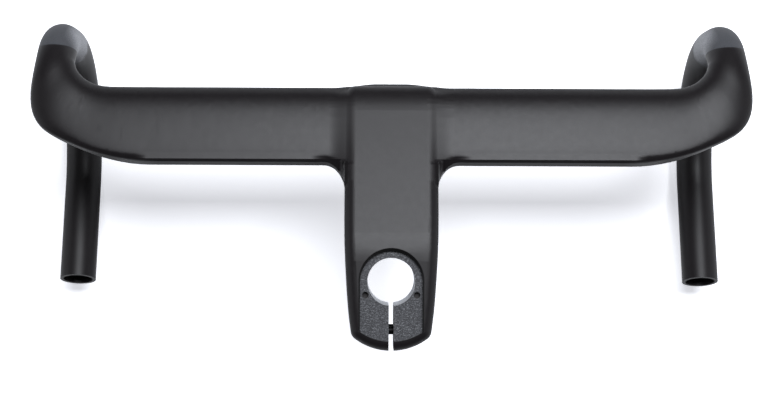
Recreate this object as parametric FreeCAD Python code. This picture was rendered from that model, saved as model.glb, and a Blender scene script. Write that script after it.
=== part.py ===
import FreeCAD, Part
import math
import os
from FreeCAD import Vector as V

# One-piece bar and stem for a road bicycle, in the steerer's own frame (millimetres).
# Origin: steerer axis at the underside of the clamp. +X rider's right, +Y forward, +Z up.

# Steerer clamp
steerer_d = 28.6            # round bore for the steerer tube
clamp_h = 40.0              # height of the clamp, underside to top seat
slit_w = 3.0                # slot from the bore out through the back
recess_r = 18.6             # arc of the top recess round the steerer, and half its width
recess_corner_r = 2.0
recess_side_back = 29.6     # straight sides end this far behind the axis
recess_back = 35.4          # curved back wall of the recess
recess_depth = 2.6          # depth of the top-cap seat under the clamp's top face
pin_d = 4.0                 # blind locating holes beside the steerer
pin_depth = 4.0
pin_x = 15.4
pin_y = -7.9

# Stem body
stem_half_w = 28.3          # half width along the parallel run
stem_back = 41.3            # rear end behind the steerer axis
stem_waist_w = 27.2         # half width beside the steerer
stem_waist_y = 3.3
stem_tail_w = 23.7          # half width at the tail's corners
taper_y = 38.0              # where the sides start drawing in
tail_r = 36.5               # plan radius of the tail
tail_corner_r = 6.0         # plan radius of the tail's corners
stem_slope_deg = 14.0       # fall of the stem's upper line
slope_start_y = 21.0        # where the upper line leaves the clamp's flat top
slope_round_r = 70.0        # round between the flat top and the slope
nose_top_y = 103.0          # where the upper line turns down over the nose
nose_y = 118.6              # foremost point of the stem's own nose, inside the bar's front
nose_z = 5.0                # height of that point
nose_bottom_z = -5.6
nose_crown = 2.4            # swell of the leading edge at the middle
nose_reach = 36.0           # half width of that swell
stem_edge_r = 6.6           # round along the flanks' edges

# Wing tops
wing_z = 7.5                # height of the bar line, at mid chord
wing_front_y = 117.6        # leading edge
wing_back_y = 69.7          # trailing edge
wing_pitch_deg = 8.0        # the wing is turned nose down
wing_t = 22.0               # thickness of the wing
wing_crest = 27.0           # leading edge to the thickest line
wing_tail_sink = 1.0        # the tail's lower corner stands this far behind its middle
bend_run = 60.4             # each outer bend, from the straight tops to the hood's centre
root_plan_x = 13.0          # plan blend from trailing edge into the stem, outward
root_plan_y = 18.0          # the same, rearward
root_top_r = 11.0           # blend of the wing's top into the stem's flank
root_top_power = 3.0        # the larger, the tighter that blend
root_start_deg = 6.0        # the blend starts this far round, just inside the flank
root_sink = 0.06

# Outer bend and drops
bar_half_w = 208.4          # centre of each hood from the middle plane
flare_deg = 0.85            # lean of each drop's plane, wider below
tube_d = 23.8               # round tube of the hoods and grips
ramp_deg = 17.0             # slope of the ramp forward of the tops
ramp_y = 121.6              # end of the ramp, where the hook starts
ramp_z = 1.0
hook_top_r = 38.0           # upper bend of the hook
round_turn_deg = 45.0       # direction in that bend from which the tube is round
hook_lean_deg = 90.0        # direction of the hook's front, below horizontal
hook_front_run = 12.7       # nearly straight run down the front
hook_low_r = 69.0           # lower bend of the hook
drop_rise_deg = 18.0        # rise of the grip toward the bar end
drop_end_y = -5.2           # plane of the bar end, measured on the tube's axis

# Walls and hollows
wall = 2.4                  # laminate wall of the bar
stem_wall = 3.2             # laminate wall of the stem
sleeve_wall = 5.0           # ring of material round the steerer bore
hollow_back_y = 5.0         # the stem's hollow starts beside the sleeve, this far forward
duct_y = 92.0               # duct along the tops: middle, width and height
duct_w = 34.0
duct_h = 13.0
duct_bend = 40.4            # where the duct turns forward, from the hood's centre
duct_r = 8.6                # round bore through the outer bend
plug_bore_d = 19.6          # trued mouth of each open bar end
plug_bore_len = 16.0

# Hose ports
port_w = 24.0               # opening under the stem, ahead of the steerer
port_l = 9.0
port_gap = 1.2              # web between that opening and the sleeve
hose_d = 7.0                # opening behind each brake lever
hose_len = 11.0
hose_turn_deg = 66.0        # where it sits round the hook's upper bend

# Clamp bolts
bolt_y = -29.3
bolt_z = (28.6, 12.4)
bolt_d = 5.0
bolt_head_d = 8.5
bolt_head_h = 5.0
bolt_len = 30.0
bolt_socket = 4.0
bolt_socket_depth = 2.6
bolt_hole_d = 5.5
seat_x = 14.5               # spot faces under washer and nut flange, from the middle plane
seat_d = 10.4
washer_d = 9.6
washer_t = 1.0
nut_flange_d = 9.6          # flanged sleeve nut in the far ear
nut_flange_t = 1.6
nut_barrel_d = 7.0
nut_barrel_len = 9.5
fit_gap = 0.05              # clearance all round the bolts, washers and nuts
seat_gap = 0.02             # clearance of bonded inserts in their holes
join_gap = 0.005            # sections of the bar are joined across gaps up to this wide

# Threaded inserts of the computer mount, under the nose
mount_y = 98.0
mount_half_pitch = 10.0
mount_insert_d = 7.0
mount_insert_len = 8.0
mount_insert_sink = 0.4     # the inserts stop this far short of the surface
mount_hole_d = 4.2
mount_boss_d = 12.0
mount_boss_h = 10.0

bore_r = steerer_d / 2
top_z = clamp_h
recess_floor_z = clamp_h - recess_depth
wing_run = bar_half_w - bend_run
duct_end_x = bar_half_w - duct_bend
tube_r = tube_d / 2


def unit(v):
    return v * (1.0 / v.Length)


def mix(p, q, t):
    return p * (1 - t) + q * t


def spline(points, start, end):
    """Smooth curve through the points, with equal steps of its parameter from point to point."""
    curve = Part.BSplineCurve()
    steps = [float(i) for i in range(len(points))]
    first = start * (points[1] - points[0]).Length
    last = end * (points[-1] - points[-2]).Length
    curve.interpolate(Points=points, Parameters=steps, InitialTangent=first, FinalTangent=last,
                      Scale=False)
    return curve


def skin_surface(curves, stations, start, end):
    """Surface through a row of alike curves, leaving the first and last ones in the given directions."""
    columns = []
    for index in range(1, curves[0].NbPoles + 1):
        run = Part.BSplineCurve()
        run.interpolate(Points=[curve.getPole(index) for curve in curves], Parameters=stations,
                        InitialTangent=start, FinalTangent=end, Scale=False)
        columns.append(run)
    surface = Part.BSplineSurface()
    surface.buildFromPolesMultsKnots([column.getPoles() for column in columns],
                                     curves[0].getMultiplicities(), columns[0].getMultiplicities(),
                                     curves[0].getKnots(), columns[0].getKnots(),
                                     False, False, 3, 3)
    return surface


def loop_face(row):
    return Part.Face(Part.Wire([curve.toShape() for curve in row]))


def skin_solid(rows, start, end):
    """Closed solid through a row of sections, each a loop of curves."""
    stations = [0.0]
    for before, after in zip(rows, rows[1:]):
        front = (after[0].StartPoint - before[0].StartPoint).Length
        back = (after[0].EndPoint - before[0].EndPoint).Length
        stations.append(stations[-1] + (front + back) / 2)
    faces = [skin_surface([row[i] for row in rows], stations, start, end).toShape()
             for i in range(len(rows[0]))]
    faces += [loop_face(rows[0]), loop_face(rows[-1])]
    shell = Part.makeShell(faces)
    shell.sewShape()
    return Part.makeSolid(Part.Shell(shell.Faces))


def section(centre, front, up, a, b, half, wing, swell=0.0):
    """Closed section: a to the front edge, b to the back one, wing 1 for a cut-off tail, 0 for an oval."""
    power = 2.0 + 5.0 * wing
    corner = math.radians(150 + 14 * wing)

    def place(angle, side):
        c = math.cos(angle)
        s = abs(math.sin(angle))
        height = half + swell * (0.5 - 0.5 * c) ** 1.5 * (1.0 if side > 0 else 0.45)
        if c >= 0:
            f = a * c
            u = height * s
        else:
            f = -b * abs(c) ** (2 / power)
            u = height * s ** (2 / power)
        return centre + front * f + up * (side * u)

    def skirt(side):
        return [place(corner * share, side) for share in (0.0, 0.18, 0.38, 0.6, 0.78, 0.9, 1.0)]

    down = unit(front * (-b * math.sin(corner)) + up * (half * math.cos(corner)))
    inward = unit(front * (b * math.sin(corner)) + up * (half * math.cos(corner)))
    face_down = unit(front * -0.1 + up * -1.0)
    face_in = unit(front * 0.1 + up * -1.0)
    upper = skirt(1)
    lower = skirt(-1)
    back = centre - front * b
    over = spline(upper, up, unit(mix(down, face_down, wing)))
    tail = spline([upper[-1], back, lower[-1]], unit(mix(down, face_down, wing)),
                  unit(mix(inward, face_in, wing)))
    beneath = spline(lower[::-1], unit(mix(inward, face_in, wing)), up)
    return (over, tail, beneath)


def bend(y, z, radius, start_deg, end_deg, r):
    """Round tube bent forward and under from (y, z); gives the solid and its far end."""
    start = math.radians(start_deg)
    end = math.radians(end_deg)
    centre = V(bar_half_w, y - radius * math.sin(start), z - radius * math.cos(start))
    along = V(0, math.cos(start), -math.sin(start))
    disc = Part.Face(Part.Wire(Part.makeCircle(r, V(bar_half_w, y, z), along)))
    solid = disc.revolve(centre, V(-1, 0, 0), end_deg - start_deg)
    return solid, centre.y + radius * math.sin(end), centre.z + radius * math.cos(end)


def run_out(y, z, length, turn_deg, r):
    """Straight round tube from (y, z), pointing turn_deg below the horizontal."""
    turn = math.radians(turn_deg)
    along = V(0, math.cos(turn), -math.sin(turn))
    end = V(bar_half_w, y, z) + along * length
    return rod(2 * r, length, V(bar_half_w, y, z), along), end.y, end.z


flare_turn = FreeCAD.Rotation(V(0, 1, 0), -flare_deg)
flare_foot = V(bar_half_w, 0, ramp_z)


def leaned(shape):
    """Turn the drop's plane about the ramp's end, so that it stands wider below."""
    shape.rotate(flare_foot, V(0, 1, 0), -flare_deg)
    return shape


def leaned_point(point):
    return flare_foot + flare_turn.multVec(point - flare_foot)


def hook_point(turn_deg):
    """Height and reach of the tube's axis in the hook's upper bend, where it points turn_deg down."""
    turn = math.radians(turn_deg)
    start = math.radians(ramp_deg)
    return (ramp_y + hook_top_r * (math.sin(turn) - math.sin(start)),
            ramp_z + hook_top_r * (math.cos(turn) - math.cos(start)))


def drop(r, beyond=0.0):
    """Hook and grip as one round tube; gives the solid and the centre of its end."""
    y, z = hook_point(round_turn_deg)
    upper, y, z = bend(y, z, hook_top_r, round_turn_deg, hook_lean_deg, r)
    front, y, z = run_out(y, z, hook_front_run, hook_lean_deg, r)
    lower, y, z = bend(y, z, hook_low_r, hook_lean_deg, 180 + drop_rise_deg, r)
    length = (y - drop_end_y) / math.cos(math.radians(drop_rise_deg)) + beyond
    grip, y, z = run_out(y, z, length, 180 + drop_rise_deg, r)
    return leaned(upper.fuse([front, lower, grip])), leaned_point(V(bar_half_w, y, z))


def crown(x):
    """Forward swell of the leading edge at x from the middle plane."""
    share = min(1.0, abs(x) / nose_reach)
    return nose_crown * (1 - share ** 3) ** 2


def wing_section(x, back=0.0, rise=0.0):
    pitch = math.radians(wing_pitch_deg)
    front = V(0, math.cos(pitch), -math.sin(pitch))
    chord = (wing_front_y - wing_back_y) / math.cos(pitch)
    middle = V(x, (wing_front_y + wing_back_y) / 2, wing_z)
    centre = middle + front * (chord / 2 - wing_crest)
    return section(centre, front, V(0, math.sin(pitch), math.cos(pitch)), wing_crest + crown(x),
                   chord - wing_crest - wing_tail_sink + back, wing_t / 2, 1.0, rise)


def root_fairing(angle_deg):
    """Station of the blend into the stem: distance out, plan flare and rise at that angle."""
    a = math.radians(angle_deg)
    x = stem_half_w - root_sink + root_plan_x * (1 - math.cos(a))
    return x, root_plan_y * (1 - math.sin(a)), root_top_r * (1 - math.sin(a)) ** root_top_power


def bar_centre():
    """Middle of the bar between the two fairings, hidden in the stem but for its leading edge."""
    x, back, rise = root_fairing(root_start_deg)
    rows = [wing_section(x * i / 2, back, rise) for i in range(-2, 3)]
    return skin_solid(rows, V(1, 0, 0), V(1, 0, 0))


def fairing():
    """Right root of the wing, flared rearward and upward into the stem's flank."""
    rows = [wing_section(x, back, rise)
            for x, back, rise in [root_fairing(a) for a in (root_start_deg, 16, 28, 42, 60, 76, 90)]]
    rows.append(wing_section(nose_reach + 10.0))
    x, back, rise = root_fairing(root_start_deg)
    steep = math.radians(root_start_deg)
    return skin_solid(rows, V(math.tan(steep) * 0.5, -0.8, 0), V(1, 0, 0))


def straight_wing():
    return loop_face(wing_section(wing_run)).extrude(V(nose_reach + 10.0 - wing_run, 0, 0))


def corner():
    """Outer bend: the flat wing swept forward and drawn together into the round hood.

    Each place gives the inner edge from the hood's centre and the leading edge, the outer edge
    from the hood's centre and the trailing edge, the fall from the bar line, the share of wing
    left and the tilt.
    """
    rows = [wing_section(wing_run)]
    places = (
        ((-42.4, 0.05), (-40.9, 1.9), -0.1, 0.98, 3.0),
        ((-31.4, 0.5), (-24.9, 6.2), -0.6, 0.9, 6.0),
        ((-23.0, 2.9), (-8.9, 12.8), -1.5, 0.7, 9.0),
        ((-17.0, 7.4), (4.9, 20.9), -3.1, 0.45, 12.0),
        ((-13.6, 12.0), (11.5, 31.4), -5.5, 0.22, 16.0),
        ((-12.2, 15.8), (12.9, 46.3), -8.3, 0.06, 24.0),
    )
    for inner, outer, fall, wing, tilt in places:
        pitch = math.tan(math.radians(wing_pitch_deg)) * wing / 2
        inner = V(bar_half_w + inner[0], wing_front_y + inner[1], wing_z + fall)
        outer = V(bar_half_w + outer[0], wing_back_y + outer[1], wing_z + fall)
        turn_down = V(0, 0, (inner - outer).Length * pitch)
        inner = inner - turn_down
        outer = outer + turn_down
        front = unit(inner - outer)
        ahead = unit(V(0, 0, 1).cross(front)) * -1
        lean = math.radians(tilt)
        up_here = unit(unit(front.cross(ahead)) * -math.cos(lean) + ahead * math.sin(lean))
        nose = tube_r + (wing_crest - tube_r) * wing if wing > 0.5 else (inner - outer).Length / 2
        thick = tube_r + (wing_t / 2 - tube_r) * wing
        rows.append(section(inner - front * nose, front, up_here, nose,
                            (inner - outer).Length - nose - wing_tail_sink * wing, thick, wing))
    turn = math.radians(round_turn_deg)
    y, z = hook_point(round_turn_deg)
    inward = flare_turn.multVec(V(-1, 0, 0))
    outward = flare_turn.multVec(V(0, math.sin(turn), math.cos(turn)))
    rows.append(section(leaned_point(V(bar_half_w, y, z)), inward, outward, tube_r, tube_r, tube_r, 0.0))
    return skin_solid(rows, V(1, 0, 0), flare_turn.multVec(V(0, math.cos(turn), -math.sin(turn))))


def bar_half():
    """Right half of the bar: fairing at the stem, wing, outer bend, hook and grip."""
    return fairing().fuse([straight_wing(), corner(), drop(tube_r)[0]], join_gap)


def mirrored(shape):
    return shape.mirror(V(0, 0, 0), V(1, 0, 0))


def both(shape):
    return shape.fuse([mirrored(shape)], join_gap)


def edge(points):
    return Part.makePolygon(points).Edges[0]


def stem_plan(inset):
    """Outline of the stem from above: parallel sides, drawn in and rounded at the tail."""
    half = stem_half_w - inset
    side = stem_tail_w - inset
    back = -stem_back + inset
    ahead = nose_y + 20.0
    radius = tail_r - inset
    corner = V(side, back + radius - math.sqrt(radius ** 2 - side ** 2), 0)
    run = edge([V(half, ahead, 0), V(half, taper_y, 0)])
    side_curve = spline([V(half, taper_y, 0), V(stem_waist_w - inset, stem_waist_y, 0), corner],
                        V(0, -1, 0), unit(V(-0.17, -1, 0))).toShape()
    tail = Part.Arc(corner, V(0, back, 0), V(-corner.x, corner.y, 0)).toShape()
    front = edge([V(-half, ahead, 0), V(half, ahead, 0)])
    return Part.Face(Part.Wire([front, run, side_curve, tail, mirrored(side_curve), mirrored(run)]))


def stem_profile(inset):
    """Outline of the stem from the side: flat clamp top, falling upper line, round nose."""
    slope = math.radians(stem_slope_deg)
    fall = V(0, math.cos(slope), -math.sin(slope))
    reach = slope_round_r * math.tan(slope / 2)
    knee = V(0, slope_start_y, top_z - inset)
    flat_end = knee - V(0, reach, 0)
    slope_end = knee + fall * ((nose_top_y - slope_start_y) / math.cos(slope))
    round_start = knee + fall * reach
    middle = V(0, flat_end.y + slope_round_r * math.sin(slope / 2),
               flat_end.z - slope_round_r * (1 - math.cos(slope / 2)))
    back = -stem_back - 20.0
    low_back = V(0, back, inset)
    low_front = V(0, slope_start_y, inset)
    nose_end = V(0, nose_top_y, nose_bottom_z + inset)
    nose = Part.BSplineCurve()
    nose.interpolate(Points=[slope_end, V(0, nose_y - inset, nose_z), nose_end],
                     InitialTangent=fall, FinalTangent=unit(low_front - nose_end))
    edges = [edge([V(0, back, top_z - inset), flat_end]),
             Part.Arc(flat_end, middle, round_start).toShape(),
             edge([round_start, slope_end]),
             nose.toShape(),
             edge([nose_end, low_front]),
             edge([low_front, low_back]),
             edge([low_back, V(0, back, top_z - inset)])]
    return Part.Face(Part.Wire(edges))


def stem_block(inset):
    plan = stem_plan(inset)
    plan.translate(V(0, 0, -40))
    profile = stem_profile(inset)
    profile.translate(V(-60, 0, 0))
    tower = plan.extrude(V(0, 0, 120))
    corners = [e for e in tower.Edges if e.BoundBox.ZLength > 100 and -60 < e.BoundBox.YMin < 0]
    tower = tower.makeFillet(tail_corner_r - inset, corners)
    return tower.common(profile.extrude(V(120, 0, 0)))


def stem():
    """Stem with one round run along both flanks, above, over the nose and below."""
    block = stem_block(0.0)
    return block.makeFillet(stem_edge_r, [e for e in block.Edges if e.BoundBox.YLength > 1.0])


def rod(d, length, start, axis):
    return Part.makeCylinder(d / 2, length, start, axis)


def box_at(x0, x1, y0, y1, z0, z1):
    return Part.makeBox(x1 - x0, y1 - y0, z1 - z0, V(x0, y0, z0))


def obround(width, length, start, axis, along):
    """Slot-ended hole: width across, length along the given direction, cut from start the way of axis."""
    depth = axis.Length
    shift = along * ((length - width) / 2)
    ends = rod(width, depth, start + shift, axis).fuse(rod(width, depth, start - shift, axis))
    across = unit(along.cross(axis)) * (width / 2)
    corners = [start + shift + across, start + shift - across, start - shift - across, start - shift + across]
    return ends.fuse(Part.Face(Part.makePolygon(corners + corners[:1])).extrude(axis))


def top_recess():
    left = V(-recess_r, 0, recess_floor_z)
    right = V(recess_r, 0, recess_floor_z)
    drop = V(0, -recess_side_back, 0)
    wire = Part.Wire([Part.Arc(left, V(0, recess_r, recess_floor_z), right).toShape(),
                      edge([right, right + drop]),
                      Part.Arc(right + drop, V(0, -recess_back, recess_floor_z), left + drop).toShape(),
                      edge([left + drop, left])])
    solid = Part.Face(wire).extrude(V(0, 0, 20))
    corners = [e for e in solid.Edges if e.BoundBox.ZLength > 10 and e.BoundBox.YMax < -recess_side_back + 1]
    return solid.makeFillet(recess_corner_r, corners)


def bolt_cuts(z):
    """Hole through both ears, a spot face outside each and the nut's barrel hole in the far one."""
    across = V(1, 0, 0)
    cuts = rod(bolt_hole_d, 2 * seat_x, V(-seat_x, bolt_y, z), across)
    cuts = cuts.fuse(rod(seat_d, 30, V(-seat_x - 30, bolt_y, z), across))
    cuts = cuts.fuse(rod(seat_d, 30, V(seat_x, bolt_y, z), across))
    barrel = nut_barrel_len + fit_gap
    return cuts.fuse(rod(nut_barrel_d + 2 * fit_gap, barrel, V(seat_x - barrel, bolt_y, z), across))


def hose_cut():
    """Opening on the inner side of the hook's upper bend, behind the brake lever's clamp."""
    turn = math.radians(hose_turn_deg)
    y, z = hook_point(hose_turn_deg)
    centre = V(bar_half_w, y, z)
    along = V(0, math.cos(turn), -math.sin(turn))
    inward = V(0, -math.sin(turn), -math.cos(turn))
    return leaned(obround(hose_d, hose_len, centre, inward * tube_d, along))


def plug_bore():
    rise = math.radians(drop_rise_deg)
    out = flare_turn.multVec(V(0, -math.cos(rise), math.sin(rise)))
    centre = drop(tube_r)[1]
    return rod(plug_bore_d, plug_bore_len + 5, centre - out * plug_bore_len, out)


def duct_run(points):
    """Round bore along straight runs, with a ball at each turn."""
    parts = []
    for start, end in zip(points, points[1:]):
        parts.append(rod(2 * duct_r, (end - start).Length, start, end - start))
        parts.append(Part.makeSphere(duct_r, end))
    return parts


def bar_duct():
    """Inside of the right half: wide duct in the tops, round bore through the bend and the drop."""
    wide = obround(duct_h, duct_w, V(0, duct_y, wing_z), V(duct_end_x, 0, 0), V(0, 1, 0))
    y, z = hook_point(round_turn_deg)
    bend_points = [V(duct_end_x - 8, duct_y + 1.5, wing_z),
                   V(bar_half_w - 16, duct_y + 9, wing_z - 1.3),
                   V(bar_half_w - 3.4, duct_y + 19.5, wing_z - 4.5),
                   V(bar_half_w, ramp_y, ramp_z),
                   V(bar_half_w, y, z)]
    return wide.fuse(duct_run(bend_points) + [drop(tube_r - wall, wall)[0]])


def hollow():
    """Inside of the laminate: the bar's ducts from end to end and the stem's box ahead of the sleeve."""
    box = stem_block(stem_wall)
    box = box.common(box_at(-60, 60, hollow_back_y, 200, -40, 60))
    sleeve = rod(steerer_d + 2 * sleeve_wall, 120, V(0, 0, -40), V(0, 0, 1))
    return both(bar_duct()).fuse(box.cut(sleeve))


def mount_spots():
    return [V(side * mount_half_pitch, mount_y, 0) for side in (-1, 1)]


def floor_z(y):
    """Underside of the stem's nose at y."""
    share = (y - slope_start_y) / (nose_top_y - slope_start_y)
    return nose_bottom_z * share


def cockpit_body():
    outer = both(bar_half()).fuse([bar_centre()], join_gap).fuse(stem())
    inside = hollow()
    bosses = [rod(mount_boss_d, mount_boss_h, spot + V(0, 0, floor_z(mount_y) + 0.3), V(0, 0, 1))
              for spot in mount_spots()]
    for boss in bosses:
        inside = inside.cut(boss)
    shell = outer.cut(inside)
    cuts = [rod(steerer_d, 2 * clamp_h, V(0, 0, -clamp_h / 2), V(0, 0, 1)),
            top_recess(),
            box_at(-slit_w / 2, slit_w / 2, -2 * clamp_h, 0, -clamp_h / 2, 1.5 * clamp_h),
            obround(port_l, port_w, V(0, bore_r + sleeve_wall + port_gap + port_l / 2, -clamp_h / 4),
                    V(0, 0, clamp_h / 4 + stem_wall + 2), V(1, 0, 0)),
            hose_cut(), mirrored(hose_cut()), plug_bore(), mirrored(plug_bore())]
    cuts += [rod(pin_d, pin_depth + 1, V(side * pin_x, pin_y, recess_floor_z - pin_depth), V(0, 0, 1))
             for side in (-1, 1)]
    cuts += [bolt_cuts(z) for z in bolt_z]
    cuts += [rod(mount_insert_d + 2 * seat_gap, 10 + mount_insert_sink + mount_insert_len,
                 spot + V(0, 0, floor_z(mount_y) - 10), V(0, 0, 1)) for spot in mount_spots()]
    for cut in cuts:
        shell = shell.cut(cut)
    return shell


def clamp_bolt(z):
    out = V(-1, 0, 0)
    seat = V(-seat_x - washer_t, bolt_y, z)
    head = rod(bolt_head_d, bolt_head_h, seat, out)
    rim = [e for e in head.Edges if abs(e.BoundBox.XMin + seat_x + washer_t + bolt_head_h) < 0.01
           and e.Curve.TypeId == "Part::GeomCircle"]
    head = head.makeChamfer(0.5, rim)
    socket_r = bolt_socket / math.sqrt(3)
    mouth = seat + out * bolt_head_h
    corners = [mouth + V(0, socket_r * math.cos(math.radians(60 * i)), socket_r * math.sin(math.radians(60 * i)))
               for i in range(7)]
    socket = Part.Face(Part.makePolygon(corners)).extrude(out * -bolt_socket_depth)
    shank = rod(bolt_d, bolt_len, seat, out * -1)
    return head.cut(socket).fuse(shank).removeSplitter()


def bolt_washer(z):
    start = V(-seat_x - washer_t, bolt_y, z)
    return rod(washer_d, washer_t, start, V(1, 0, 0)).cut(rod(bolt_d + 2 * fit_gap, washer_t, start, V(1, 0, 0)))


def sleeve_nut(z):
    seat = V(seat_x, bolt_y, z)
    nut = rod(nut_flange_d, nut_flange_t, seat, V(1, 0, 0)).fuse(
        rod(nut_barrel_d, nut_barrel_len, seat, V(-1, 0, 0)))
    bore = rod(bolt_d + 2 * fit_gap, nut_barrel_len + nut_flange_t,
               seat - V(nut_barrel_len, 0, 0), V(1, 0, 0))
    return nut.cut(bore).removeSplitter()


def mount_insert(spot):
    foot = spot + V(0, 0, floor_z(mount_y) + mount_insert_sink)
    return rod(mount_insert_d, mount_insert_len, foot, V(0, 0, 1)).cut(
        rod(mount_hole_d, mount_insert_len, foot, V(0, 0, 1)))


nodes = {"cockpit_body": cockpit_body()}
for name, z in zip(("upper", "lower"), bolt_z):
    nodes["clamp_bolt_" + name] = clamp_bolt(z)
    nodes["clamp_washer_" + name] = bolt_washer(z)
    nodes["clamp_nut_" + name] = sleeve_nut(z)
for name, spot in zip(("left", "right"), mount_spots()):
    nodes["mount_insert_" + name] = mount_insert(spot)

os.makedirs("parts", exist_ok=True)
for name, shape in nodes.items():
    print(name, shape.isValid(), len(shape.Solids), round(shape.Volume, 1))
    shape.exportStep("parts/" + name + ".step")
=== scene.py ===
# %% [markdown]
# # One-piece road bar and stem
#
# A moulded carbon drop bar with its stem and steerer clamp in one piece, seen from straight
# above on a white sweep. The shapes come from the solid model. What is made here is the look:
# satin black lacquer, bare laminate where the lever bands clamp and where the top cap sits,
# a trued steerer bore, black-oxide screws, and the big soft light over it.

# %% Load the solid model
import math
import bpy
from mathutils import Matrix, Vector
from mathutils.bvhtree import BVHTree


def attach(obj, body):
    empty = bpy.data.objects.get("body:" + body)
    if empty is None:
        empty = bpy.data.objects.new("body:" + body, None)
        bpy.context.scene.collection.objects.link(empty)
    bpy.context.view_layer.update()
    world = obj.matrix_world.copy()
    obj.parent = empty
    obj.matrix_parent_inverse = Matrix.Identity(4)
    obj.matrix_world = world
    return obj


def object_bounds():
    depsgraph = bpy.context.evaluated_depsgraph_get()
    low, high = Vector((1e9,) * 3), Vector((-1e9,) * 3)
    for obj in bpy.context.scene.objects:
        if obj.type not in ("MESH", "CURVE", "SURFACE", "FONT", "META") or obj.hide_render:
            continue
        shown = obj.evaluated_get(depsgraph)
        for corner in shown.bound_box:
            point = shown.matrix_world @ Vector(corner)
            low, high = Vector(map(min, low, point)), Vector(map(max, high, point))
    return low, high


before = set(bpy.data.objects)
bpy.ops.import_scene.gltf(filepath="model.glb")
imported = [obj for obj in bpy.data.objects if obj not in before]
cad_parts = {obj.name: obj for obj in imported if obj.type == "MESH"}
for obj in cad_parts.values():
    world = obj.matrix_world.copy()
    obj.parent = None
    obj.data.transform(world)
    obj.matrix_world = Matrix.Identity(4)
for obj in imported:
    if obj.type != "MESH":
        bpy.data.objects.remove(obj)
cad_box = [list(corner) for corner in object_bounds()]
print("nodes:", sorted(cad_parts))
print("box:", cad_box)

MM = 0.001

# %% [markdown]
# ## Dimensions that the finishes need
#
# Some finishes stop at a line on the part, such as the top-cap seat or the band where a lever
# clamps, so those lines are written here as real sizes, in metres.

# %% Lines on the part
STEERER_R = 14.3 * MM
SEAT_Z = 37.4 * MM            # floor of the top-cap recess
SEAT_HALF_W = 18.6 * MM
SEAT_BACK = 35.4 * MM
LEVER_START = (143.8 * MM, 1.0 * MM)     # where the lacquer stops on top of the hook, in Y and Z
LEVER_TURN = math.radians(12.0)          # lean of that line
LEVER_END_Z = -52.0 * MM                 # lower end of the lever's band
HOOD_X = 190.0 * MM
INNER_X = 199.5 * MM                     # inner side of the hook, where the band's pale dust and a painted sheen show
DUST_AND_SHEEN_TOP_Z = -12.0 * MM
LIP_SHADE_SIDE = 1.0 * MM                      # rolled lip round the top-cap recess, with a painted shade along it
LIP_SHADE_FRONT = 1.7 * MM
LIP_SHADE_BACK_Y = -29.0 * MM
STEM_SIDE = 26.0 * MM                    # where the stem's edge turns down into the root
TAIL_Y = 73.2 * MM                       # the wing's cut-off edge
TAIL_REACH = 152.0 * MM                  # where that edge dies out in the outer bend
WING_TOP_FACES = (0.0, 0.13, 0.99)       # directions: the wing's top beside that edge,
TAIL_FACES = (0.0, -0.66, 0.75)          # and the tail's rounded drop under it

# %% [markdown]
# ## Nodes in few words
#
# Every finish is a small shader graph. `Graph` adds a node, sets its sockets and links it, so
# that each finish below reads as one short list of steps.

# %% Shader graph helper
def linear(hex_colour):
    """sRGB hex, such as 2A2B2D, to linear RGBA."""
    values = [int(hex_colour[i:i + 2], 16) / 255 for i in (0, 2, 4)]
    return tuple(v / 12.92 if v <= 0.04045 else ((v + 0.055) / 1.055) ** 2.4 for v in values) + (1.0,)


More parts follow.
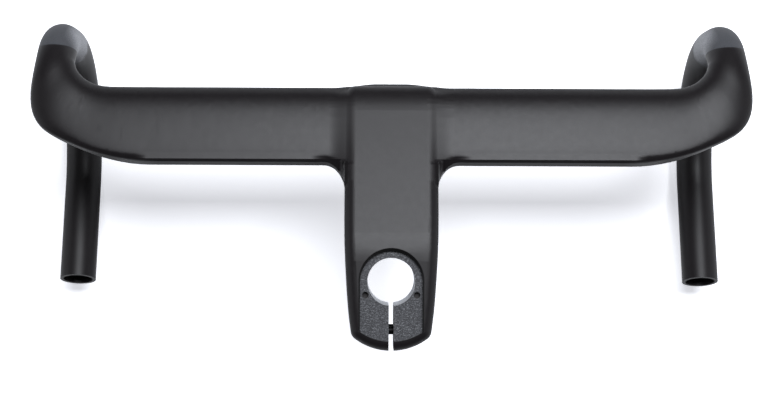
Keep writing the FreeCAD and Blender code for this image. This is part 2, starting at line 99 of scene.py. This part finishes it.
class Graph:
    """A material's node tree, with its surface shader ready to set."""

    def __init__(self, name):
        self.material = bpy.data.materials.new(name)
        self.material.use_nodes = True
        self.tree = self.material.node_tree
        self.surface = self.tree.nodes["Principled BSDF"]

    def put(self, socket, value):
        if isinstance(value, bpy.types.NodeSocket):
            self.tree.links.new(value, socket)
        else:
            socket.default_value = value

    def add(self, kind, inputs=None, **settings):
        node = self.tree.nodes.new("ShaderNode" + kind)
        for key, value in settings.items():
            setattr(node, key, value)
        for key, value in (inputs or {}).items():
            self.put(node.inputs[key], value)
        return node

    def math(self, operation, a, b=0.0, c=0.0, use_clamp=False):
        node = self.add("Math", {0: a, 1: b, 2: c}, operation=operation, use_clamp=use_clamp)
        return node.outputs[0]

    def above(self, value, edge, blur):
        """1 where value is over edge, 0 where it is under, over a width of blur."""
        step = self.add("MapRange", {"Value": value, "From Min": edge - blur / 2,
                                     "From Max": edge + blur / 2})
        return step.outputs[0]

    def below(self, value, edge, blur):
        return self.math("SUBTRACT", 1.0, self.above(value, edge, blur))

    def both(self, *masks):
        out = masks[0]
        for mask in masks[1:]:
            out = self.math("MULTIPLY", out, mask)
        return out

    def mix_value(self, mask, a, b):
        return self.add("Mix", {"Factor": mask, "A": a, "B": b}).outputs["Result"]

    def mix_colour(self, mask, a, b):
        node = self.add("Mix", data_type="RGBA")
        self.put(node.inputs["Factor"], mask)
        self.put(node.inputs[6], a)
        self.put(node.inputs[7], b)
        return node.outputs[2]

    def mix_vector(self, mask, a, b):
        node = self.add("Mix", data_type="VECTOR")
        for index, value in ((0, mask), (4, a), (5, b)):
            self.put(node.inputs[index], value)
        return node.outputs[1]

    def vector(self, x, y, z):
        return self.add("CombineXYZ", {0: x, 1: y, 2: z}).outputs[0]

    def unit(self, vector):
        return self.add("VectorMath", {0: vector}, operation="NORMALIZE").outputs[0]

    def noise(self, per_metre, detail=2.0, roughness=0.5):
        node = self.add("TexNoise", {"Vector": self.place(), "Scale": per_metre, "Detail": detail,
                                     "Roughness": roughness})
        return node.outputs[0]

    def place(self):
        """Position on the part, in metres, the same in every view."""
        if not hasattr(self, "where"):
            self.where = self.add("TexCoord").outputs["Object"]
        return self.where

    def axes(self):
        split = self.add("SeparateXYZ", {0: self.place()})
        return split.outputs[0], split.outputs[1], split.outputs[2]

    def bump(self, height, distance, strength=1.0, normal=None):
        node = self.add("Bump", {"Height": height, "Distance": distance, "Strength": strength})
        if normal is not None:
            self.put(node.inputs["Normal"], normal)
        return node.outputs[0]

    def finish(self, **sockets):
        for key, value in sockets.items():
            self.put(self.surface.inputs[key.replace("_", " ")], value)
        return self.material


# %% [markdown]
# ## Where each finish of the moulding lies
#
# One node carries three finishes, because it is one moulding: the sprayed satin lacquer, the
# bare keyed band under each lever clamp, and the machined top-cap seat and steerer bore. Each
# finish gets a mask from 0 to 1. The masks are made of real distances on the part, not painted,
# so an edge such as the masking tape's line round the hook stays sharp at any size.

# %% Masks of the lever bands and the clamp
def lever_zone(g, x, y, z):
    """The bare band under a lever's clamp, and its inner side where pale dust and a painted sheen show.
    """
    across = g.math("ABSOLUTE", x)
    past = g.math("SUBTRACT",
                  g.math("MULTIPLY", g.math("SUBTRACT", y, LEVER_START[0]), math.cos(LEVER_TURN)),
                  g.math("MULTIPLY", g.math("SUBTRACT", z, LEVER_START[1]), math.sin(LEVER_TURN)))
    ragged = g.math("ADD", z, g.math("MULTIPLY", g.noise(300.0, 3.0), 8 * MM))
    lever = g.both(g.above(past, 0.0, 0.4 * MM), g.above(ragged, LEVER_END_Z, 5 * MM),
                   g.above(across, HOOD_X, 1 * MM))
    dust_and_painted_sheen = g.both(g.below(across, INNER_X, 9 * MM), g.below(z, DUST_AND_SHEEN_TOP_Z, 16 * MM))
    return lever, dust_and_painted_sheen


def clamp_zone(g, x, y, z):
    """The top-cap seat, the rolled lip round it with a painted shade, and the wall of the steerer bore.
    """
    across = g.math("ABSOLUTE", x)
    blur = 0.2 * MM
    seat = g.both(g.above(z, SEAT_Z - 0.4 * MM, blur), g.below(z, SEAT_Z + 0.3 * MM, blur),
                  g.below(across, SEAT_HALF_W + 0.2 * MM, blur),
                  g.above(y, -SEAT_BACK - 0.2 * MM, blur), g.below(y, SEAT_HALF_W + 0.2 * MM, blur))
    radius = g.math("SQRT", g.math("ADD", g.math("MULTIPLY", x, x), g.math("MULTIPLY", y, y)))
    front = g.above(y, 0.0, 0.1 * MM)
    outside = g.math("SUBTRACT", g.mix_value(front, across, radius), SEAT_HALF_W)
    widening = (LIP_SHADE_FRONT - LIP_SHADE_SIDE) / SEAT_HALF_W
    lip_shade_width = g.math("ADD", LIP_SHADE_SIDE, g.math("MULTIPLY", g.math("MAXIMUM", y, 0.0), widening))
    rolled_lip_shade = g.math("SUBTRACT", 1.0, g.math("DIVIDE", outside, lip_shade_width), use_clamp=True)
    lip_with_painted_shade = g.both(g.math("MULTIPLY", rolled_lip_shade, 2.5, use_clamp=True),
                 g.above(outside, -0.4 * MM, 0.1 * MM), g.above(z, SEAT_Z + 0.4 * MM, blur),
                 g.above(y, LIP_SHADE_BACK_Y, 2 * MM))
    bore = g.both(g.below(radius, STEERER_R + 0.1 * MM, 0.1 * MM), g.below(z, SEAT_Z - 0.2 * MM, blur))
    return seat, lip_with_painted_shade, bore


# %% [markdown]
# ## Edges finer than the solid's
#
# Some edges of the moulding are rolled or sharpened by less than the solid model holds. A
# coat of lacquer shows such an edge by how it mirrors, so the shading normal is turned there
# and the surface stays. From the stem outward: the steep side of the root valley, the crisp
# corner of the wing's top over its cut-off tail, the tail's drop below it, and the recess's lip.

# %% Turned normals
def turned_normal(g, x, y, z, lip_with_painted_shade):
    across = g.math("ABSOLUTE", x)
    before_bend = g.below(across, TAIL_REACH, 20 * MM)
    valley = g.both(g.above(across, STEM_SIDE + 0.5 * MM, 3 * MM), g.below(across, 44 * MM, 3 * MM),
                    g.above(y, 72 * MM, 2 * MM))
    flank = g.both(g.above(across, STEM_SIDE, 1 * MM), g.below(across, STEM_SIDE + 5 * MM, 2 * MM),
                   g.below(y, 73 * MM, 1 * MM), g.above(y, 57 * MM, 2 * MM), g.above(z, 22 * MM, 1 * MM))
    nx, ny, nz = g.add("SeparateXYZ", {0: g.add("NewGeometry").outputs["Normal"]}).outputs[:3]
    softer = g.math("SUBTRACT", 1.0, g.math("MULTIPLY", valley, 0.55))
    outward = g.math("MULTIPLY", g.math("SIGN", x), g.math("MULTIPLY", flank, 0.9))
    facing = g.vector(g.math("ADD", g.math("MULTIPLY", nx, softer), outward), ny, nz)

    tail = g.both(g.above(across, 43 * MM, 12 * MM), g.below(across, TAIL_REACH, 8 * MM),
                  g.above(y, TAIL_Y, 0.3 * MM), g.below(y, 77.5 * MM, 1.5 * MM),
                  g.above(z, 17.6 * MM, 0.3 * MM))
    facing = g.mix_vector(tail, facing, WING_TOP_FACES)
    drop = g.both(g.above(across, 31 * MM, 2 * MM), before_bend,
                  g.below(y, TAIL_Y + 0.1 * MM, 0.3 * MM), g.above(y, 66 * MM, 1 * MM),
                  g.math("MAXIMUM", g.above(z, 16.5 * MM, 1 * MM), 0.35))
    facing = g.mix_vector(drop, facing, TAIL_FACES)

    inward = g.vector(g.math("MULTIPLY", x, -1.0),
                      g.math("MULTIPLY", g.math("MAXIMUM", y, 0.0), -1.0), 0.4 * SEAT_HALF_W)
    return g.unit(g.mix_vector(lip_with_painted_shade, facing, g.unit(inward)))


# %% [markdown]
# ## Satin black lacquer over carbon laminate
#
# The lacquer is near black and satin, mottled a little as sprayed coats are. The lever bands
# are left keyed for grip and a little dusty, with the floor's reflection on their inner sides
# painted in as a pale sheen, and the top-cap seat is scored by its cutter. They could be
# separate pieces with a material each, but the real one is one moulding, and its node stays whole this
# way.

# %% Carbon body
def carbon_body():
    g = Graph("satin_lacquer_on_carbon")
    x, y, z = g.axes()
    lever, dust_and_painted_sheen = lever_zone(g, x, y, z)
    seat, lip_with_painted_shade, bore = clamp_zone(g, x, y, z)

    mottle = g.noise(260.0, 3.0)
    grain = g.noise(2600.0, 2.0)
    keyed = g.noise(1500.0, 4.0, 0.7)
    scored = g.noise(1100.0, 5.0, 0.75)
    turned = g.add("Mapping", {"Vector": g.place(), "Rotation": (0.0, 0.0, math.radians(38.0)),
                               "Scale": (900.0, 2600.0, 900.0)})
    scratch = g.add("TexNoise", {"Vector": turned.outputs[0], "Scale": 1.0, "Detail": 3.0}).outputs[0]

    lacquer_colour = g.mix_colour(mottle, linear("161315"), linear("1A1719"))
    lever_colour = g.mix_colour(keyed, linear("37383C"), linear("5A5C61"))
    # Pale dust on the hook's inner side, partly a painted sheen: the floor's reflection there is painted
    # in as a near-white colour.
    pale_dust_and_sheen = g.both(dust_and_painted_sheen, g.above(keyed, 0.42, 0.5))
    lever_colour = g.mix_colour(pale_dust_and_sheen, lever_colour, linear("E2E4EA"))
    flecks = g.both(g.above(scratch, 0.60, 0.10), g.above(scored, 0.48, 0.2))
    seat_colour = g.mix_colour(g.above(scored, 0.52, 0.25), linear("2A2A2D"), linear("58595D"))
    seat_colour = g.mix_colour(flecks, seat_colour, linear("8A8C90"))
    colour = g.mix_colour(lever, lacquer_colour, lever_colour)
    colour = g.mix_colour(seat, colour, seat_colour)
    colour = g.mix_colour(bore, colour, linear("D6D8DC"))
    # Painted shade: the near-black ring on the lip round the recess stands in for the shadow at its
    # edge.
    colour = g.mix_colour(lip_with_painted_shade, colour, linear("070708"))

    rough = g.mix_value(mottle, 0.41, 0.46)
    rough = g.mix_value(lever, rough, 0.60)
    rough = g.mix_value(seat, rough, 0.60)
    rough = g.mix_value(bore, rough, 0.45)

    height = g.mix_value(lever, g.math("MULTIPLY", grain, 0.15), keyed)
    height = g.mix_value(seat, height, g.math("MULTIPLY", scored, 2.2))
    normal = g.bump(height, 0.05 * MM, normal=turned_normal(g, x, y, z, lip_with_painted_shade))
    return g.finish(Base_Color=colour, Roughness=rough, IOR=1.42, Sheen_Weight=0.12,
                    Sheen_Roughness=0.3, Normal=normal)


# %% [markdown]
# ## Black-oxide screws
#
# The two clamp screws, their washers and sleeve nuts are turned steel with a black oxide: a thin
# dark layer that still shines like metal, a little lighter and rougher in random patches.

# %% Fastener finishes
def black_oxide():
    g = Graph("black_oxide_steel")
    worn = g.noise(900.0, 4.0)
    colour = g.mix_colour(worn, linear("0E0E0F"), linear("1B1B1D"))
    rough = g.mix_value(worn, 0.42, 0.55)
    return g.finish(Base_Color=colour, Metallic=0.85, Roughness=rough,
                    Normal=g.bump(g.noise(3000.0, 2.0), 0.02 * MM))


def turned_alloy():
    g = Graph("turned_aluminium")
    x, y, z = g.axes()
    rings = g.math("SINE", g.math("MULTIPLY", z, 2 * math.pi / (0.25 * MM)))
    colour = g.mix_colour(g.noise(700.0, 2.0), linear("B4B6BA"), linear("C4C6CA"))
    return g.finish(Base_Color=colour, Metallic=1.0, Roughness=0.32, Normal=g.bump(rings, 0.01 * MM))


# %% Give each node its finish
def dress(node, material):
    for item in node.material_slots:
        item.material = material


body_finish = carbon_body()
screw_finish = black_oxide()
insert_finish = turned_alloy()
for name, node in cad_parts.items():
    if name == "cockpit_body":
        dress(node, body_finish)
    elif name.startswith("mount_insert"):
        dress(node, insert_finish)
    else:
        dress(node, screw_finish)
    print(name, [slot.material.name for slot in node.material_slots])

# %% [markdown]
# ## Root fillets
#
# Where a wing meets the stem, the mould has a soft valley that rises from the wing's top to the
# stem's edge. Each fillet is a skin on the solid: a grid of rays cast from above finds the
# solid's height, and each row is raised to an S-shaped curve between the wing and the stem.
# Beside the stem, behind the wing, the row shrinks to a narrow strip. It fades out at both ends.

# %% Root fillet heights
FILLET_IN = 21.4 * MM          # on the stem's top
FILLET_BACK = 56.0 * MM
FILLET_FRONT = 117.0 * MM
FADE_BACK = 4.0 * MM
FADE_FRONT = 7.0 * MM
FILLET_LIFT = 0.01 * MM        # so that the skin lies on the solid, not in it
# outer edge of each row in mm, as pairs of y and distance from the middle
FILLET_OUT = ((56.0, 28.4), (70.6, 28.4), (72.6, 38.0), (130.0, 38.0))
# slope with which each row leaves the wing, as pairs of y and rise over run
FILLET_LEAN = ((56.0, 0.8), (70.6, 0.8), (72.6, 0.35), (75.0, 0.04), (78.0, 0.015), (130.0, 0.015))


def smooth(t):
    t = min(max(t, 0.0), 1.0)
    return t * t * (3.0 - 2.0 * t)


def top_of(tree, x, y):
    hit = tree.ray_cast(Vector((x, y, 0.1)), Vector((0.0, 0.0, -1.0)))
    return hit[0].z


def along(table, y):
    """Straight lines between the (y, value) pairs of a table."""
    for (y0, a), (y1, b) in zip(table, table[1:]):
        if y <= y1:
            return a + (b - a) * (y - y0) / (y1 - y0)
    return table[-1][1]


def fillet_row(tree, side, y, columns):
    """One row of points, from the wing in to the stem's top."""
    outer = along(FILLET_OUT, y / MM) * MM
    lean = along(FILLET_LEAN, y / MM) * (outer - FILLET_IN)
    wing, stem = top_of(tree, side * outer, y), top_of(tree, side * FILLET_IN, y)
    strength = smooth((y - FILLET_BACK) / FADE_BACK) * smooth((FILLET_FRONT - y) / FADE_FRONT)
    row = []
    for i in range(columns + 1):
        t = i / columns
        across = outer + (FILLET_IN - outer) * t
        below = top_of(tree, side * across, y)
        rise = wing + (stem - wing) * smooth(t) + lean * t * (1.0 - t) ** 2
        row.append((side * across, y, below + max(rise - below, 0.0) * strength + FILLET_LIFT))
    return row


# %% Root fillet skins
def root_fillet(name, side, tree):
    columns, rows = 48, 122
    verts = []
    for j in range(rows + 1):
        y = FILLET_BACK + (FILLET_FRONT - FILLET_BACK) * j / rows
        verts += fillet_row(tree, side, y, columns)
    faces = []
    for j in range(rows):
        for i in range(columns):
            a = j * (columns + 1) + i
            quad = (a, a + 1, a + columns + 2, a + columns + 1)
            faces.append(quad if side < 0 else quad[::-1])
    mesh = bpy.data.meshes.new(name)
    mesh.from_pydata(verts, [], faces)
    for face in mesh.polygons:
        face.use_smooth = True
    fillet = bpy.data.objects.new(name, mesh)
    bpy.context.collection.objects.link(fillet)
    mesh.materials.append(body_finish)
    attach(fillet, "root")
    return fillet


bar = BVHTree.FromObject(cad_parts["cockpit_body"], bpy.context.evaluated_depsgraph_get())
for name, side in (("root_fillet_left", -1), ("root_fillet_right", 1)):
    fillet = root_fillet(name, side, bar)
    added = max(v.co.z - top_of(bar, v.co.x, v.co.y) for v in fillet.data.vertices)
    print(name, "faces", len(fillet.data.polygons), "adds up to", round(added / MM, 2), "mm")

# %% [markdown]
# ## White sweep
#
# A plain matt white floor just under the drops. The camera sees it with some light of its own,
# as a sweep lit from below has, so it reaches full white and only the soft shadow of the tops
# is left. To the part it is plain matt white: what it throws back is never that extra light.

# %% Floor
def lit_sweep():
    """Matt white, lit from below as seen by the camera, and greyer in what it throws back."""
    g = Graph("lit_white_sweep")
    g.tree.nodes.remove(g.surface)
    seen = g.add("BsdfDiffuse", {"Color": (0.93, 0.93, 0.94, 1.0)})
    glow = g.add("Emission", {"Color": (0.935, 0.945, 1.0, 1.0), "Strength": 0.56})
    white = g.add("AddShader", {0: seen.outputs[0], 1: glow.outputs[0]})
    open_parts = g.add("BsdfDiffuse", {"Color": (0.42, 0.42, 0.42, 1.0)})
    white = g.add("AddShader", {0: white.outputs[0], 1: open_parts.outputs[0]})
    thrown = g.add("BsdfDiffuse", {"Color": (0.79, 0.79, 0.80, 1.0)})
    path = g.add("LightPath")
    mix = g.add("MixShader", {0: path.outputs["Is Camera Ray"], 1: thrown.outputs[0],
                              2: white.outputs[0]})
    g.put(g.tree.nodes["Material Output"].inputs[0], mix.outputs[0])
    return g.material


def floor():
    low = cad_box[0][2]
    mesh = bpy.data.meshes.new("floor")
    size = 6.0
    mesh.from_pydata([(-size, -size, low), (size, -size, low), (size, size, low), (-size, size, low)],
                     [], [(0, 1, 2, 3)])
    plane = bpy.data.objects.new("floor", mesh)
    bpy.context.collection.objects.link(plane)
    mesh.materials.append(lit_sweep())
    return plane


floor()

# %% [markdown]
# ## Light
#
# Two soft boxes hang over the front of the bar, the right one a little stronger. The stem's
# and the wings' tops mirror them as a broad grey sheen, and they throw the tops' shadow back. A
# weak panel on each side draws the round of the drops. The room between them is nearly dark,
# so that the edges turned away stay black. All of it is daylight, a touch blue.

# %% Soft boxes and room
DAYLIGHT = (0.93, 0.955, 1.0)
BOX_AT = (0.66, 1.7)             # Y and Z of the overhead boxes, in metres
ROOM_LEVEL = 0.07


def soft_box(name, centre, size_x, size_y, radiance, aim):
    data = bpy.data.lights.new(name, "AREA")
    data.shape = "RECTANGLE"
    data.size = size_x
    data.size_y = size_y
    data.color = DAYLIGHT
    data.energy = radiance * math.pi * size_x * size_y
    lamp = bpy.data.objects.new(name, data)
    lamp.location = centre
    lamp.rotation_euler = (Vector(aim) - Vector(centre)).to_track_quat("-Z", "Y").to_euler()
    bpy.context.collection.objects.link(lamp)
    return lamp


for name, x, width, radiance in (("soft_box_left", -0.09, 0.52, 14.5),
                                 ("soft_box_right", 0.47, 0.58, 18.0)):
    soft_box(name, (x,) + BOX_AT, width, 0.62, radiance, (x, 0.09, 0.0))
for name, x, radiance in (("side_panel_left", -1.7, 0.9), ("side_panel_right", 1.7, 0.8)):
    soft_box(name, (x, 0.1, 0.45), 1.4, 0.9, radiance, (0.0, 0.1, 0.0))


def room(level):
    world = bpy.data.worlds.new("white_room")
    world.use_nodes = True
    tree = world.node_tree
    tree.nodes.clear()
    seen = tree.nodes.new("ShaderNodeBackground")
    seen.inputs[0].default_value = (1.0, 1.0, 1.0, 1.0)
    seen.inputs[1].default_value = 1.0
    lit = tree.nodes.new("ShaderNodeBackground")
    lit.inputs[0].default_value = DAYLIGHT + (1.0,)
    lit.inputs[1].default_value = level
    path = tree.nodes.new("ShaderNodeLightPath")
    mix = tree.nodes.new("ShaderNodeMixShader")
    out = tree.nodes.new("ShaderNodeOutputWorld")
    tree.links.new(path.outputs["Is Camera Ray"], mix.inputs[0])
    tree.links.new(lit.outputs[0], mix.inputs[1])
    tree.links.new(seen.outputs[0], mix.inputs[2])
    tree.links.new(mix.outputs[0], out.inputs[0])
    bpy.context.scene.world = world


room(ROOM_LEVEL)

# %% [markdown]
# ## Camera
#
# A metre above the tops, looking straight down with the bar's front at the top of the frame.

# %% Camera
PHOTO_W = 777
FOCAL_PX = 1620.0
SENSOR_W = 36.0
NADIR_PX = 372.0            # column of the photo straight below the lens
CAMERA_AT = (-11.7 * MM, 46.3 * MM, 1.0)
ROLL_DEG = 0.25

camera_data = bpy.data.cameras.new("camera")
camera_data.sensor_width = SENSOR_W
camera_data.lens = FOCAL_PX / PHOTO_W * SENSOR_W
camera_data.shift_x = (PHOTO_W / 2 - NADIR_PX) / PHOTO_W
camera_data.clip_start = 0.01
camera_data.clip_end = 20.0
camera = bpy.data.objects.new("camera", camera_data)
camera.location = CAMERA_AT
camera.rotation_euler = (0.0, 0.0, math.radians(ROLL_DEG))
bpy.context.collection.objects.link(camera)
bpy.context.scene.camera = camera
bpy.context.scene.view_settings.view_transform = "Standard"
print("lens", round(camera_data.lens, 2), "mm, shift", round(camera_data.shift_x, 4))
